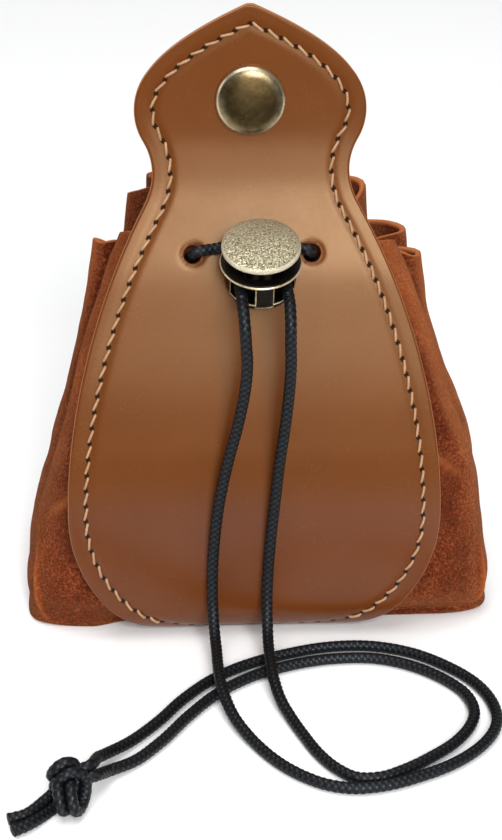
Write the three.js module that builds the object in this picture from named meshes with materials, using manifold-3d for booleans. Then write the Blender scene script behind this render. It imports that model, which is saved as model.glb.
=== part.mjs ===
// Drawstring dice bag: a gathered suede pouch behind a keyhole-shaped leather front panel,
// closed by a waxed cord with a spring cord lock and an overhand knot.
// Millimetres, +Z up. The pouch stands on z = 0 with its front towards -Y.

import * as THREE from "three";
import { mergeVertices } from "three/addons/utils/BufferGeometryUtils.js";
import Module from "manifold-3d";

// Driving dimensions

const GAP = 0.35;

const SUEDE_WALL = 1.2;
const POUCH_CENTRE_X = 1.5;
const MOUTH_HEIGHT = 73;
const LIFT_START = 38;
const COLUMNS_PER_FOLD = 8;
const FOLD_CREST_WIDTH = 0.9;
const FOLD_CREST_BIAS = 0.4;
const DEEPEST_FOLD = 3.8;

const LEATHER = 2.0;
const PANEL_START_Y = -23;
const PANEL_FOOT = 1.6;
const PANEL_BELLY_HALF = 34.6;
const PANEL_CORNER_RADIUS = 28.6;
const CORD_HOLE_X = 10.8;
const CORD_HOLE_AT = 79.6;
const CORD_HOLE_RADIUS = 1.7;

const SNAP_AT = 107.4;
const SNAP_POST_RADIUS = 2.0;

const LOCK_CENTRE = new THREE.Vector3(1.1, -27, 76);
const LOCK_TILT = 20;
const LOCK_SPIN = 4.6;
const LOCK_RIM_RADIUS = 7.25;
const TUNNEL_INNER = 1.7;
const TUNNEL_OUTER = 5.7;
const TUNNEL_TOP = -1.35;
const TUNNEL_BOTTOM = -4.4;
const BUTTON_TRAVEL = 2.4;
const STEM_RADIUS = 5.0;
const NECK_HALF = 1.2;
const FOOT_HALF = 2.6;
const FOOT_TOP = -1.5;
const FOOT_BOTTOM = -3.5;

const CORD_RADIUS = 1.05;
const CORD_SIDES = 8;
const CORD_SPREAD = 4.1;
const CORD_LEVEL = -2.6;
const CORD_BELOW_RIM = 6.5;
const CORD_STANDOFF = 2.2;
const DRAWSTRING_STEPS = 50;
const CORD_INSET = 2.1;
const TAIL_STEPS = 37;
const ROOM_SIDES = 6;

// Level sections of the pouch, from the floor up: half the width, reach to the front and back,
// squareness of the front and back corners, half the depth of the folds, and how many columns of
// the folds share one facet.
const SECTIONS = [
  { z: 0, halfWidth: 22, front: 11, back: 13, frontSquare: 5, backSquare: 5, fold: 0, every: 8 },
  { z: 0, halfWidth: 43.2, front: 22.6, back: 26.5, frontSquare: 9, backSquare: 6, fold: 0, every: 2 },
  { z: 2, halfWidth: 44.6, front: 23.4, back: 28.2, frontSquare: 9, backSquare: 6, fold: 0, every: 2 },
  { z: 4.2, halfWidth: 45, front: 26, back: 29, frontSquare: 8, backSquare: 6, fold: 0, every: 2 },
  { z: 8.5, halfWidth: 45, front: 27.7, back: 29.8, frontSquare: 7, backSquare: 5.5, fold: 0.2, every: 2 },
  { z: 18, halfWidth: 43.2, front: 27.4, back: 29.6, frontSquare: 6, backSquare: 5, fold: 0.6, every: 1 },
  { z: 30, halfWidth: 39.5, front: 25.7, back: 27.6, frontSquare: 5, backSquare: 4, fold: 1.2, every: 1 },
  { z: 41, halfWidth: 35.2, front: 23.3, back: 25, frontSquare: 4, backSquare: 3.3, fold: 2, every: 1 },
  { z: 51, halfWidth: 32, front: 19.8, back: 22.6, frontSquare: 3.5, backSquare: 2.8, fold: 2.7, every: 1 },
  { z: 62, halfWidth: 29, front: 14.2, back: 20.6, frontSquare: 3.1, backSquare: 2.4, fold: 3.4, every: 1 },
  { z: 73, halfWidth: 27, front: 9.7, back: 20, frontSquare: 3, backSquare: 2.3, fold: 3.8, every: 1 },
];

// Folds of the gathered mouth, anticlockwise from the right-hand side: bearing of the crest in
// degrees, depth against the section's own, and height of the cut rim.
const FOLDS = [
  { bearing: -2, depth: 1.2, top: 66.5 },
  { bearing: 18, depth: 1.1, top: 68 },
  { bearing: 40, depth: 1.0, top: 75 },
  { bearing: 64, depth: 0.9, top: 77 },
  { bearing: 90, depth: 1.0, top: 76 },
  { bearing: 115, depth: 0.9, top: 77 },
  { bearing: 134, depth: 0.9, top: 76 },
  { bearing: 151, depth: 0.7, top: 75 },
  { bearing: 169, depth: 0.25, top: 69.5 },
  { bearing: 187, depth: 1.3, top: 71 },
  { bearing: 207, depth: 0.6, top: 73 },
  { bearing: 226, depth: 0.5, top: 77 },
  { bearing: 247, depth: 0.5, top: 78 },
  { bearing: 269, depth: 0.5, top: 78 },
  { bearing: 291, depth: 0.5, top: 78 },
  { bearing: 314, depth: 0.5, top: 77 },
  { bearing: 339, depth: 1.1, top: 67 },
];

// Side view of the panel's outer face, from the floor up: length of each bend and how far it
// turns, in degrees, from heading forwards.
const PANEL_BENDS = [
  { length: 11.8, turn: -90 },
  { length: 27, turn: -8 },
  { length: 25, turn: -15 },
  { length: 25, turn: 6 },
  { length: 13, turn: 8 },
  { length: 24, turn: 3 },
];

// Edge of the panel's right half above the belly: where each curve ends and the two points that
// pull it, as half the width and the length along the panel.
const PANEL_CURVES = [
  { leave: [34.6, 52.2], arrive: [27.1, 74.4], end: [19.5, 88.4] },
  { leave: [17.3, 92.5], arrive: [17.3, 96.5], end: [19.5, 100.2] },
  { leave: [21.5, 103.8], arrive: [21.5, 108.7], end: [18.2, 112.7] },
  { leave: [15, 117], arrive: [8.6, 120.9], end: [0.6, 124.5] },
];

// Turned profiles, from the axis round the outside and back; heights are along the piece's axis.
const SNAP_PROFILE = [
  { radius: 0, height: -3.95 },
  { radius: 3.8, height: -3.95 },
  { radius: 4.6, height: -3.15 },
  { radius: 4.6, height: -2.35 },
  { radius: SNAP_POST_RADIUS, height: -2.35 },
  { radius: SNAP_POST_RADIUS, height: 0.35 },
  { radius: 6.1, height: 0.35 },
  { radius: 6.1, height: 0.95 },
  { radius: 5.6, height: 1.6 },
  { radius: 4.4, height: 2.15 },
  { radius: 2.6, height: 2.5 },
  { radius: 0, height: 2.65 },
];
const LOCK_PROFILE = [
  { radius: 0, height: -7.2 },
  { radius: 4.8, height: -7.2 },
  { radius: 6.3, height: -5.9 },
  { radius: 6.8, height: -4.8 },
  { radius: 6.8, height: -1.2 },
  { radius: LOCK_RIM_RADIUS, height: -1.2 },
  { radius: LOCK_RIM_RADIUS, height: 0 },
  { radius: 5.3, height: 0 },
  { radius: 5.3, height: -6.2 },
  { radius: 0, height: -6.2 },
];
const BUTTON_PROFILE = [
  { radius: 0, height: FOOT_BOTTOM },
  { radius: STEM_RADIUS, height: FOOT_BOTTOM },
  { radius: STEM_RADIUS, height: 2.75 },
  { radius: 6.7, height: 2.75 },
  { radius: 7, height: 3.05 },
  { radius: 7, height: 3.85 },
  { radius: 6.6, height: 4.25 },
  { radius: 0, height: 4.6 },
];

// Routes of the cord's two free ends, from the lock down the panel and over the floor.
const TAIL_LEFT = [
  [-2.4, -33.2, 70.9], [-2.3, -35.3, 69.9], [-2.1, -37.0, 67.6], [-1.9, -37.2, 64.2],
  [-1.7, -36.6, 60.0], [-2.1, -35.6, 54.5], [-3.3, -34.4, 47.4], [-5.1, -33.3, 39.3],
  [-6.7, -32.6, 30.7], [-7.7, -32.3, 21.7], [-8.1, -32.4, 13.2], [-8.0, -33.6, 7.8],
  [-7.8, -36.4, 4.9], [-7.6, -40.3, 3.9], [-7.5, -45.0, 3.65], [-7.2, -50.6, 3.6],
  [-6.4, -55.7, 2.6], [-5.1, -59.8, 1.5], [-3.1, -63.4, 1.1], [-0.5, -68.4, 1.1],
  [2.5, -73.3, 1.1], [6.1, -77.3, 1.1], [10.1, -80.5, 1.1], [14.7, -82.0, 1.1],
  [20.3, -81.0, 1.1], [26.0, -78.6, 1.1], [31.9, -75.1, 1.1], [37.1, -70.3, 1.1],
  [40.5, -65.2, 1.1], [41.9, -60.6, 1.1], [41.6, -54.8, 1.1], [39.5, -49.0, 1.1],
  [35.1, -43.3, 1.1], [28.9, -38.3, 1.1], [21.4, -35.6, 1.1], [13.5, -35.6, 1.1],
  [5.3, -37.8, 1.1], [-2.4, -41.3, 1.1], [-8.6, -45.9, 1.1], [-14.1, -52.3, 1.1],
  [-18.6, -59.2, 1.1], [-23.4, -65.2, 1.15], [-27.0, -69.2, 1.8], [-29.0, -72.2, 2.8],
];
const TAIL_RIGHT = [
  [5.8, -32.6, 71.1], [5.9, -34.8, 70.1], [5.9, -36.8, 67.8], [5.9, -37.1, 64.2],
  [6.0, -36.6, 60.0], [5.8, -35.7, 54.5], [5.2, -34.6, 47.3], [4.3, -33.5, 39.2],
  [3.5, -32.7, 30.5], [2.7, -32.3, 21.5], [2.2, -32.5, 13.0], [2.1, -33.7, 8.1],
  [2.1, -36.2, 5.0], [2.1, -39.4, 4.0], [2.2, -43.4, 3.7], [2.5, -49.0, 3.3],
  [3.5, -54.6, 2.2], [5.2, -59.4, 1.3], [7.1, -64.7, 1.1], [9.3, -70.3, 1.1],
  [12.1, -74.9, 1.1], [15.4, -77.7, 1.1], [19.6, -77.7, 1.1], [23.9, -75.6, 1.1],
  [28.8, -72.1, 1.1], [33.4, -67.9, 1.1], [36.7, -63.0, 1.1], [38.1, -58.2, 1.1],
  [37.3, -52.8, 1.1], [34.3, -48.0, 1.1], [29.1, -43.2, 1.1], [22.2, -40.0, 1.1],
  [14.3, -39.7, 1.1], [6.7, -41.4, 1.1], [-0.7, -44.8, 1.1], [-7.5, -50.3, 1.1],
  [-13.1, -57.6, 1.1], [-17.9, -65.2, 1.1], [-22.5, -70.9, 1.1], [-26.9, -74.6, 1.7],
];

// Overhand knot: its middle, the way it lies, and the wraps round its core, each with its place
// along the knot and its slant in degrees.
const KNOT_CENTRE = new THREE.Vector3(-33.3, -80.3, 3.8);
const KNOT_ALONG = new THREE.Vector3(-0.6, -0.8, -0.06);
const KNOT_PROFILE = [
  { radius: 0, height: -4.6 },
  { radius: 1.75, height: -3.9 },
  { radius: 2.5, height: -2.6 },
  { radius: 2.5, height: 2.6 },
  { radius: 1.75, height: 3.9 },
  { radius: 0, height: 4.6 },
];
const WRAP_RADIUS = 2.45;
const KNOT_WRAPS = [
  { at: -2.5, slant: 16 },
  { at: 0, slant: -22 },
  { at: 2.5, slant: 14 },
];
const CUT_ENDS = [
  [[-34.6, -82.3, 3.2], [-37.6, -84.6, 1.9], [-40.6, -85.9, 1.25], [-43.6, -87.1, 1.2]],
  [[-35.0, -83.2, 2.7], [-37.4, -86.2, 1.5], [-40.0, -88.4, 1.15], [-42.6, -90.3, 1.15]],
];

// Solids

const wasm = await Module();
wasm.setup();
const { degToRad, lerp, smoothstep } = THREE.MathUtils;

function toSolid(geometry) {
  geometry.deleteAttribute("normal");
  geometry.deleteAttribute("uv");
  const merged = mergeVertices(geometry, 1e-4);
  const index = merged.index.array;
  const triVerts = [];
  for (let i = 0; i < index.length; i += 3) {
    const [a, b, c] = index.subarray(i, i + 3);
    if (a !== b && b !== c && c !== a) {
      triVerts.push(a, b, c);
    }
  }
  return new wasm.Manifold(new wasm.Mesh({
    numProp: 3,
    vertProperties: new Float32Array(merged.attributes.position.array),
    triVerts: new Uint32Array(triVerts),
  }));
}

function toGeometry(solid) {
  const { vertProperties, triVerts } = solid.getMesh();
  const geometry = new THREE.BufferGeometry();
  geometry.setAttribute("position", new THREE.BufferAttribute(vertProperties, 3));
  geometry.setIndex(new THREE.BufferAttribute(triVerts, 1));
  geometry.computeVertexNormals();
  return geometry;
}

function piece(name, geometry, colour, roughness, metalness) {
  const material = new THREE.MeshStandardMaterial({ color: colour, roughness, metalness });
  const mesh = new THREE.Mesh(geometry, material);
  mesh.name = name;
  return mesh;
}

// A closed skin over rings of points; the first and last ring are closed by flat fans.
function skin(rings) {
  const count = rings[0].length;
  const positions = rings.flat().flatMap((point) => point.toArray());
  const index = [];
  for (let row = 0; row < rings.length - 1; row += 1) {
    for (let column = 0; column < count; column += 1) {
      const next = (column + 1) % count;
      const a = row * count + column;
      const b = row * count + next;
      index.push(a, b, b + count, a, b + count, a + count);
    }
  }
  const last = (rings.length - 1) * count;
  for (let column = 1; column < count - 1; column += 1) {
    index.push(0, column + 1, column, last, last + column, last + column + 1);
  }
  const geometry = new THREE.BufferGeometry();
  geometry.setAttribute("position", new THREE.Float32BufferAttribute(positions, 3));
  geometry.setIndex(index);
  return geometry;
}

// A round solid turned about Z.
function turned(corners, segments) {
  const profile = corners.map(({ radius, height }) => new THREE.Vector2(radius, height));
  const geometry = new THREE.LatheGeometry(profile, segments);
  geometry.rotateX(Math.PI / 2);
  return geometry;
}

function block(minimum, maximum) {
  const size = maximum.map((value, axis) => value - minimum[axis]);
  const geometry = new THREE.BoxGeometry(...size);
  geometry.translate(...minimum.map((value, axis) => value + size[axis] / 2));
  return geometry;
}

function cordTube(points, radius, steps, sides = CORD_SIDES) {
  const section = new THREE.Shape();
  for (let side = 0; side < sides; side += 1) {
    const angle = 2 * Math.PI * side / sides;
    const corner = [radius * Math.cos(angle), radius * Math.sin(angle)];
    if (side === 0) {
      section.moveTo(...corner);
    } else {
      section.lineTo(...corner);
    }
  }
  const extrudePath = new THREE.CatmullRomCurve3(points);
  return new THREE.ExtrudeGeometry(section, { steps, extrudePath, bevelEnabled: false });
}

const vectors = (rows) => rows.map((row) => new THREE.Vector3(...row));

// Front panel: flat across, bent only in side view

// Where the outer face is after a length along the panel, and which way it heads there.
function panelFace(along) {
  let y = PANEL_START_Y;
  let z = 0;
  let heading = Math.PI;
  let left = along;
  for (const { length, turn } of PANEL_BENDS) {
    const step = Math.min(left, length);
    const halfBend = degToRad(turn) * step / length / 2;
    const chord = step * (halfBend === 0 ? 1 : Math.sin(halfBend) / halfBend);
    y += chord * Math.cos(heading + halfBend);
    z += chord * Math.sin(heading + halfBend);
    heading += 2 * halfBend;
    left -= step;
  }
  return { y, z, heading };
}

function panelInward(along) {
  const { heading } = panelFace(along);
  return new THREE.Vector3(0, Math.sin(heading), -Math.cos(heading));
}

function panelPoint(x, along, depth) {
  const { y, z } = panelFace(along);
  return new THREE.Vector3(x, y, z).addScaledVector(panelInward(along), depth);
}

function panelOutline() {
  const cornerX = PANEL_BELLY_HALF - PANEL_CORNER_RADIUS;
  const bellyAt = PANEL_FOOT + PANEL_CORNER_RADIUS;
  const half = new THREE.Path();
  half.moveTo(cornerX, PANEL_FOOT);
  half.absarc(cornerX, bellyAt, PANEL_CORNER_RADIUS, -Math.PI / 2, 0, false);
  for (const { leave, arrive, end } of PANEL_CURVES) {
    half.bezierCurveTo(...leave, ...arrive, ...end);
  }
  return half;
}

function drilled(along, x, radius) {
  const geometry = new THREE.CylinderGeometry(radius, radius, 4 * LEATHER, 16);
  const turn = new THREE.Quaternion();
  turn.setFromUnitVectors(new THREE.Vector3(0, 1, 0), panelInward(along));
  geometry.applyQuaternion(turn);
  geometry.translate(...panelPoint(x, along, LEATHER / 2).toArray());
  return toSolid(geometry);
}

function frontPanel(cordRoom) {
  const rings = panelOutline().getPoints(7).map(({ x, y: along }) => [
    panelPoint(-x, along, 0),
    panelPoint(x, along, 0),
    panelPoint(x, along, LEATHER),
    panelPoint(-x, along, LEATHER),
  ]);
  return toSolid(skin(rings))
    .subtract(drilled(SNAP_AT, 0, SNAP_POST_RADIUS + GAP))
    .subtract(drilled(CORD_HOLE_AT, -CORD_HOLE_X, CORD_HOLE_RADIUS))
    .subtract(drilled(CORD_HOLE_AT, CORD_HOLE_X, CORD_HOLE_RADIUS))
    .subtract(cordRoom);
}

// Pouch: a pleated shell lofted through the sections

function foldAt(column) {
  const turn = column / FOLDS.length;
  const wrapped = (turn - Math.floor(turn)) * FOLDS.length;
  const here = Math.floor(wrapped) % FOLDS.length;
  const next = (here + 1) % FOLDS.length;
  const part = wrapped - Math.floor(wrapped);
  const span = (FOLDS[next].bearing - FOLDS[here].bearing + 360) % 360;
  const ease = smoothstep(part, 0, 1);
  return {
    part,
    span,
    bearing: FOLDS[here].bearing,
    depth: lerp(FOLDS[here].depth, FOLDS[next].depth, ease),
    top: lerp(FOLDS[here].top, FOLDS[next].top, ease),
  };
}

// A point of the pouch's outline at a bearing, with the outward direction there.
function outlineAt(section, bearing) {
  const angle = degToRad(bearing);
  const cosine = Math.cos(angle);
  const sine = Math.sin(angle);
  const reach = sine < 0 ? section.front : section.back;
  const square = sine < 0 ? section.frontSquare : section.backSquare;
  const across = (Math.abs(cosine) / section.halfWidth) ** square;
  const deep = (Math.abs(sine) / reach) ** square;
  const radius = (across + deep) ** (-1 / square);
  const outward = new THREE.Vector2(
    Math.sign(cosine) * (Math.abs(cosine) / section.halfWidth) ** (square - 1) / section.halfWidth,
    Math.sign(sine) * (Math.abs(sine) / reach) ** (square - 1) / reach,
  ).normalize();
  return { x: POUCH_CENTRE_X + radius * cosine, y: radius * sine, outward };
}

// The outer suede face at a column of the folds; crests are broad and the valleys narrow.
function suedeFace(section, column) {
  const { part, span, bearing, depth, top } = foldAt(column);
  const gather = section.fold / DEEPEST_FOLD;
  const broaden = FOLD_CREST_WIDTH * Math.sin(4 * Math.PI * part) / (4 * Math.PI)
    + FOLD_CREST_BIAS * Math.sin(2 * Math.PI * part) / (2 * Math.PI);
  const { x, y, outward } = outlineAt(section, bearing + span * (part + gather * broaden));
  const rise = section.fold * depth * Math.cos(2 * Math.PI * part);
  const lift = (top - MOUTH_HEIGHT) * smoothstep(section.z, LIFT_START, MOUTH_HEIGHT);
  return new THREE.Vector3(x + rise * outward.x, y + rise * outward.y, section.z + lift);
}

function suedeNormal(row, column) {
  const below = SECTIONS[Math.max(row - 1, 0)];
  const above = SECTIONS[Math.min(row + 1, SECTIONS.length - 1)];
  const side = 0.4 / COLUMNS_PER_FOLD;
  const across = suedeFace(SECTIONS[row], column + side).sub(suedeFace(SECTIONS[row], column - side));
  const upwards = suedeFace(above, column).sub(suedeFace(below, column));
  return across.cross(upwards).normalize();
}

// Columns that share a facet close up onto the first of them.
function columnsOf(row) {
  const { every } = SECTIONS[row];
  const columns = [];
  for (let i = 0; i < FOLDS.length * COLUMNS_PER_FOLD; i += 1) {
    columns.push((i - i % every) / COLUMNS_PER_FOLD);
  }
  return columns;
}

function pouch(cordRoom) {
  const rows = SECTIONS.map((section, row) => row);
  const outside = rows.map((row) => columnsOf(row).map((column) => suedeFace(SECTIONS[row], column)));
  const inside = rows.map((row) => columnsOf(row).map((column) => {
    const inwards = suedeNormal(row, column).multiplyScalar(-SUEDE_WALL);
    return suedeFace(SECTIONS[row], column).add(inwards);
  }));
  return toSolid(skin([...outside, ...inside.reverse()])).subtract(cordRoom);
}

// Cord lock: body with two tunnels, and a button whose foot wedges the cords apart

function lockBody() {
  const reach = 2 * LOCK_RIM_RADIUS;
  const left = block([-TUNNEL_OUTER, -reach, TUNNEL_BOTTOM], [-TUNNEL_INNER, reach, TUNNEL_TOP]);
  const right = block([TUNNEL_INNER, -reach, TUNNEL_BOTTOM], [TUNNEL_OUTER, reach, TUNNEL_TOP]);
  return toSolid(turned(LOCK_PROFILE, 24)).subtract(toSolid(left)).subtract(toSolid(right));
}

// The stem is cut to a narrow neck that clears the cords when pressed, and a wider foot below it.
function lockButton() {
  const neckTop = CORD_LEVEL + CORD_RADIUS + GAP + BUTTON_TRAVEL;
  const reach = 2 * STEM_RADIUS;
  const cuts = [
    { half: NECK_HALF, bottom: FOOT_TOP, top: neckTop },
    { half: FOOT_HALF, bottom: FOOT_BOTTOM - GAP, top: FOOT_TOP + GAP },
  ];
  let button = toSolid(turned(BUTTON_PROFILE, 24));
  for (const { half, bottom, top } of cuts) {
    button = button.subtract(toSolid(block([half, -reach, bottom], [reach, reach, top])));
    button = button.subtract(toSolid(block([-reach, -reach, bottom], [-half, reach, top])));
  }
  return button;
}

// Cord: held part through the lock, the panel and the gathered mouth, and two free ends

const lock = new THREE.Group();
lock.position.copy(LOCK_CENTRE);
lock.rotation.set(degToRad(LOCK_TILT), 0, degToRad(LOCK_SPIN));
lock.updateMatrixWorld(true);
const lockPoint = (x, y, z) => lock.localToWorld(new THREE.Vector3(x, y, z));

// The way from the lock's front face, through its tunnel, to just behind the panel.
function lockToPanel(side) {
  const tunnel = side * CORD_SPREAD;
  const hole = side * CORD_HOLE_X;
  const entry = lockPoint(tunnel, LOCK_RIM_RADIUS, CORD_LEVEL);
  const outside = panelPoint(hole - side * 0.6, CORD_HOLE_AT + 0.6, -CORD_STANDOFF);
  const bend = entry.clone().lerp(outside, 0.45).addScaledVector(panelInward(CORD_HOLE_AT), 0.9);
  return [
    lockPoint(tunnel, -LOCK_RIM_RADIUS + 0.25, CORD_LEVEL),
    lockPoint(tunnel, 0, CORD_LEVEL),
    entry,
    bend,
    outside,
    panelPoint(hole, CORD_HOLE_AT, LEATHER / 2),
    panelPoint(hole + side * 0.5, CORD_HOLE_AT - 0.8, LEATHER + CORD_STANDOFF),
  ];
}

// Half-way through the folds, a set way below the cut rim.
function mouthPoint(column) {
  const { part, span, bearing, top } = foldAt(column);
  const level = top - CORD_BELOW_RIM;
  const upper = SECTIONS.findIndex(({ z }) => z > level);
  const [below, above] = [SECTIONS[upper - 1], SECTIONS[upper]];
  const share = (level - below.z) / (above.z - below.z);
  const section = Object.fromEntries(
    Object.keys(above).map((key) => [key, lerp(below[key], above[key], share)]),
  );
  const { x, y, outward } = outlineAt(section, bearing + span * part);
  return new THREE.Vector3(x - CORD_INSET * outward.x, y - CORD_INSET * outward.y, level);
}

function drawstringRoute() {
  const firstFold = 11;
  const lastFold = -2;
  const mouth = [];
  for (let column = firstFold; column >= lastFold; column -= 0.5) {
    mouth.push(mouthPoint(column));
  }
  return [...lockToPanel(-1), ...mouth, ...lockToPanel(1).reverse()];
}

// Overhand knot with its two cut ends

function cordKnot() {
  const along = KNOT_ALONG.clone().normalize();
  const turn = new THREE.Quaternion().setFromUnitVectors(new THREE.Vector3(0, 0, 1), along);
  const placed = (geometry) => {
    geometry.applyQuaternion(turn);
    geometry.translate(...KNOT_CENTRE.toArray());
    return toSolid(geometry);
  };
  let knot = placed(turned(KNOT_PROFILE, 12));
  for (const { at, slant } of KNOT_WRAPS) {
    const wrap = new THREE.TorusGeometry(WRAP_RADIUS, CORD_RADIUS, 6, 10);
    wrap.rotateX(degToRad(slant));
    wrap.translate(0, 0, at);
    knot = knot.add(placed(wrap));
  }
  for (const end of CUT_ENDS) {
    knot = knot.add(toSolid(cordTube(vectors(end), CORD_RADIUS, 4)));
  }
  for (const route of [TAIL_LEFT, TAIL_RIGHT]) {
    const [before, last] = vectors(route.slice(-2));
    const heading = last.clone().sub(before).normalize();
    const face = last.clone().addScaledVector(heading, GAP);
    const turnIn = face.clone().addScaledVector(heading, CORD_RADIUS);
    knot = knot.add(toSolid(cordTube([face, turnIn, KNOT_CENTRE], CORD_RADIUS, 3)));
  }
  return knot;
}

// Assembly

const drawstring = drawstringRoute();
const roomRadius = (CORD_RADIUS + GAP) / Math.cos(Math.PI / ROOM_SIDES);
const cordRoom = toSolid(cordTube(drawstring, roomRadius, DRAWSTRING_STEPS, ROOM_SIDES));

const bag = new THREE.Group();
bag.add(piece("pouch", toGeometry(pouch(cordRoom)), 0x8e4524, 0.95, 0));
bag.add(piece("front_panel", toGeometry(frontPanel(cordRoom)), 0xa86f49, 0.5, 0));

const snap = piece("snap_cap", turned(SNAP_PROFILE, 18), 0x7a6540, 0.35, 1);
snap.position.copy(panelPoint(0, SNAP_AT, 0));
snap.quaternion.setFromUnitVectors(new THREE.Vector3(0, 0, 1), panelInward(SNAP_AT).negate());
bag.add(snap);

lock.add(piece("lock_body", toGeometry(lockBody()), 0x2a2622, 0.4, 0.8));
lock.add(piece("lock_button", toGeometry(lockButton()), 0xb9a878, 0.35, 1));
bag.add(lock);

bag.add(piece("drawstring", cordTube(drawstring, CORD_RADIUS, DRAWSTRING_STEPS), 0x17171a, 0.5, 0));
bag.add(piece("tail_left", cordTube(vectors(TAIL_LEFT), CORD_RADIUS, TAIL_STEPS), 0x17171a, 0.5, 0));
bag.add(piece("tail_right", cordTube(vectors(TAIL_RIGHT), CORD_RADIUS, TAIL_STEPS), 0x17171a, 0.5, 0));
bag.add(piece("cord_knot", toGeometry(cordKnot()), 0x17171a, 0.5, 0));

export default bag;
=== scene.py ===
import math

import bmesh
import bpy
import numpy as np
from mathutils import Matrix, Vector, noise


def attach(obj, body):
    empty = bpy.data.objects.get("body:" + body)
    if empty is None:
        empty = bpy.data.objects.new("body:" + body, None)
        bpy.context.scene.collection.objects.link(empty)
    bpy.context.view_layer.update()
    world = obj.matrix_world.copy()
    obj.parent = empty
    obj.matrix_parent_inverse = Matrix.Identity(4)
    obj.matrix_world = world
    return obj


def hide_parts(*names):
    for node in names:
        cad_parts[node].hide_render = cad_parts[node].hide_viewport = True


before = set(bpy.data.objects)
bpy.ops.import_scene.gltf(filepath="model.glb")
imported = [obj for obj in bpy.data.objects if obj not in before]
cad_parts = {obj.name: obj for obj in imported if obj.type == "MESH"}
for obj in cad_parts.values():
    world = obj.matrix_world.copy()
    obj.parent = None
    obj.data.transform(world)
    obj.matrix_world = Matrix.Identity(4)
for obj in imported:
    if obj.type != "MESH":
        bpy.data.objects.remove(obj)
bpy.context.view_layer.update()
scene = bpy.context.scene
MM = 0.001


# Table: a pale floor with painted shade well in front of the bag, under soft boxes. It is seen through a
# long lens from the front and a little above, with the whole bag and its loose cord in view.
LENS_TARGET = Vector((-0.55, -25, 43.8)) * MM
LENS_AZIMUTH = math.radians(-2.5)
LENS_ELEVATION = math.radians(26)
LENS_DISTANCE = 400 * MM
FOCAL_PIXELS, FRAME_PIXELS = 2176, 840
LENS_NEAREST = 10 * MM
FLOOR_REACH = 4000
FLOOR_SPECKS_PER_METRE = 900
FLOOR_PALE = (0.88, 0.88, 0.875)
FLOOR_PALEST = (0.92, 0.92, 0.915)
FLOOR_PAINTED_SHADE = (0.1, 0.1, 0.1)
FLOOR_DARK_Y, FLOOR_PALE_Y = -260, -150
SOFT_BOXES = [
    {"name": "overhead", "at": (-120, -480, 1300), "aim": (0, -20, 40), "size": (900, 900), "watts": 8.5},
    {"name": "front", "at": (230, -1400, 890), "aim": (0, -20, 70), "size": (600, 520), "watts": 23},
    {"name": "front_low", "at": (170, -1500, 285), "aim": (0, -20, 70), "size": (560, 560), "watts": 7.2},
    {"name": "side_left", "at": (-900, -160, 400), "aim": (0, -20, 50), "size": (500, 500), "watts": 1},
    {"name": "behind", "at": (-80, 300, 1150), "aim": (0, 200, 0), "size": (1100, 800), "watts": 6},
]
ROOM_COLOUR = (0.95, 0.97, 1, 1)
ROOM_STRENGTH = 0.2


def look_along(direction):
    """The turn that points a lens or a lamp along a direction."""
    return direction.to_track_quat("-Z", "Y").to_euler()


towards_lens = Vector((
    math.sin(LENS_AZIMUTH) * math.cos(LENS_ELEVATION),
    -math.cos(LENS_AZIMUTH) * math.cos(LENS_ELEVATION),
    math.sin(LENS_ELEVATION),
))
camera = bpy.data.objects.new("camera", bpy.data.cameras.new("camera"))
camera.data.lens = camera.data.sensor_width * FOCAL_PIXELS / FRAME_PIXELS
camera.data.clip_start = LENS_NEAREST
camera.location = LENS_TARGET + towards_lens * LENS_DISTANCE
camera.rotation_euler = look_along(-towards_lens)
scene.collection.objects.link(camera)
scene.camera = camera


def new_material(name, **principled):
    """A material with values on its principled shader; returns it, its node tree and the shader."""
    material = bpy.data.materials.new(name)
    material.use_nodes = True
    shader = material.node_tree.nodes["Principled BSDF"]
    for socket, value in principled.items():
        shader.inputs[socket.replace("_", " ")].default_value = value
    return material, material.node_tree, shader


def add_node(tree, kind, inputs, **settings):
    """A shader node with its settings; each input is linked to a socket or set to a value."""
    made = tree.nodes.new(kind)
    for name, value in settings.items():
        setattr(made, name, value)
    for key, value in inputs.items():
        socket = made.inputs[key]
        if isinstance(value, bpy.types.NodeSocket):
            tree.links.new(value, socket)
        else:
            socket.default_value = (*value, 1) if socket.type == "RGBA" else value
    return made


def place_on_piece(tree):
    """Where a point of the surface lies in its own piece."""
    return add_node(tree, "ShaderNodeTexCoord", {}).outputs["Object"]


def noise_at(tree, scale, detail=3, roughness=0.6):
    """Noise fixed to the piece, with its scale per metre."""
    made = add_node(tree, "ShaderNodeTexNoise", {
        "Vector": place_on_piece(tree), "Scale": scale, "Detail": detail, "Roughness": roughness,
    })
    return made.outputs["Fac"]


def remap(tree, value, low, high, first=0.0, last=1.0, how="SMOOTHSTEP"):
    """A value that goes from first to last while another goes from low to high."""
    made = add_node(tree, "ShaderNodeMapRange", {
        "Value": value, "From Min": low, "From Max": high, "To Min": first, "To Max": last,
    }, interpolation_type=how)
    return made.outputs["Result"]


def ramp(tree, mask, *stops):
    """Colours along a mask, each stop a place and a colour."""
    made = add_node(tree, "ShaderNodeValToRGB", {"Fac": mask})
    elements = made.color_ramp.elements
    while len(elements) < len(stops):
        elements.new(0.5)
    for element, (place, colour) in zip(elements, stops):
        element.position = place
        element.color = (*colour, 1)
    return made.outputs["Color"]


def blend(tree, share, first, second, how="MIX"):
    """Two colours mixed by a share; the Mix node's colours are its inputs 6 and 7."""
    made = add_node(
        tree, "ShaderNodeMix", {0: share, 6: first, 7: second}, data_type="RGBA", blend_type=how,
    )
    return made.outputs[2]


def feed(tree, shader, **sources):
    """Links what changes over a surface to its shader."""
    for socket, source in sources.items():
        tree.links.new(source, shader.inputs[socket.replace("_", " ")])


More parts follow.
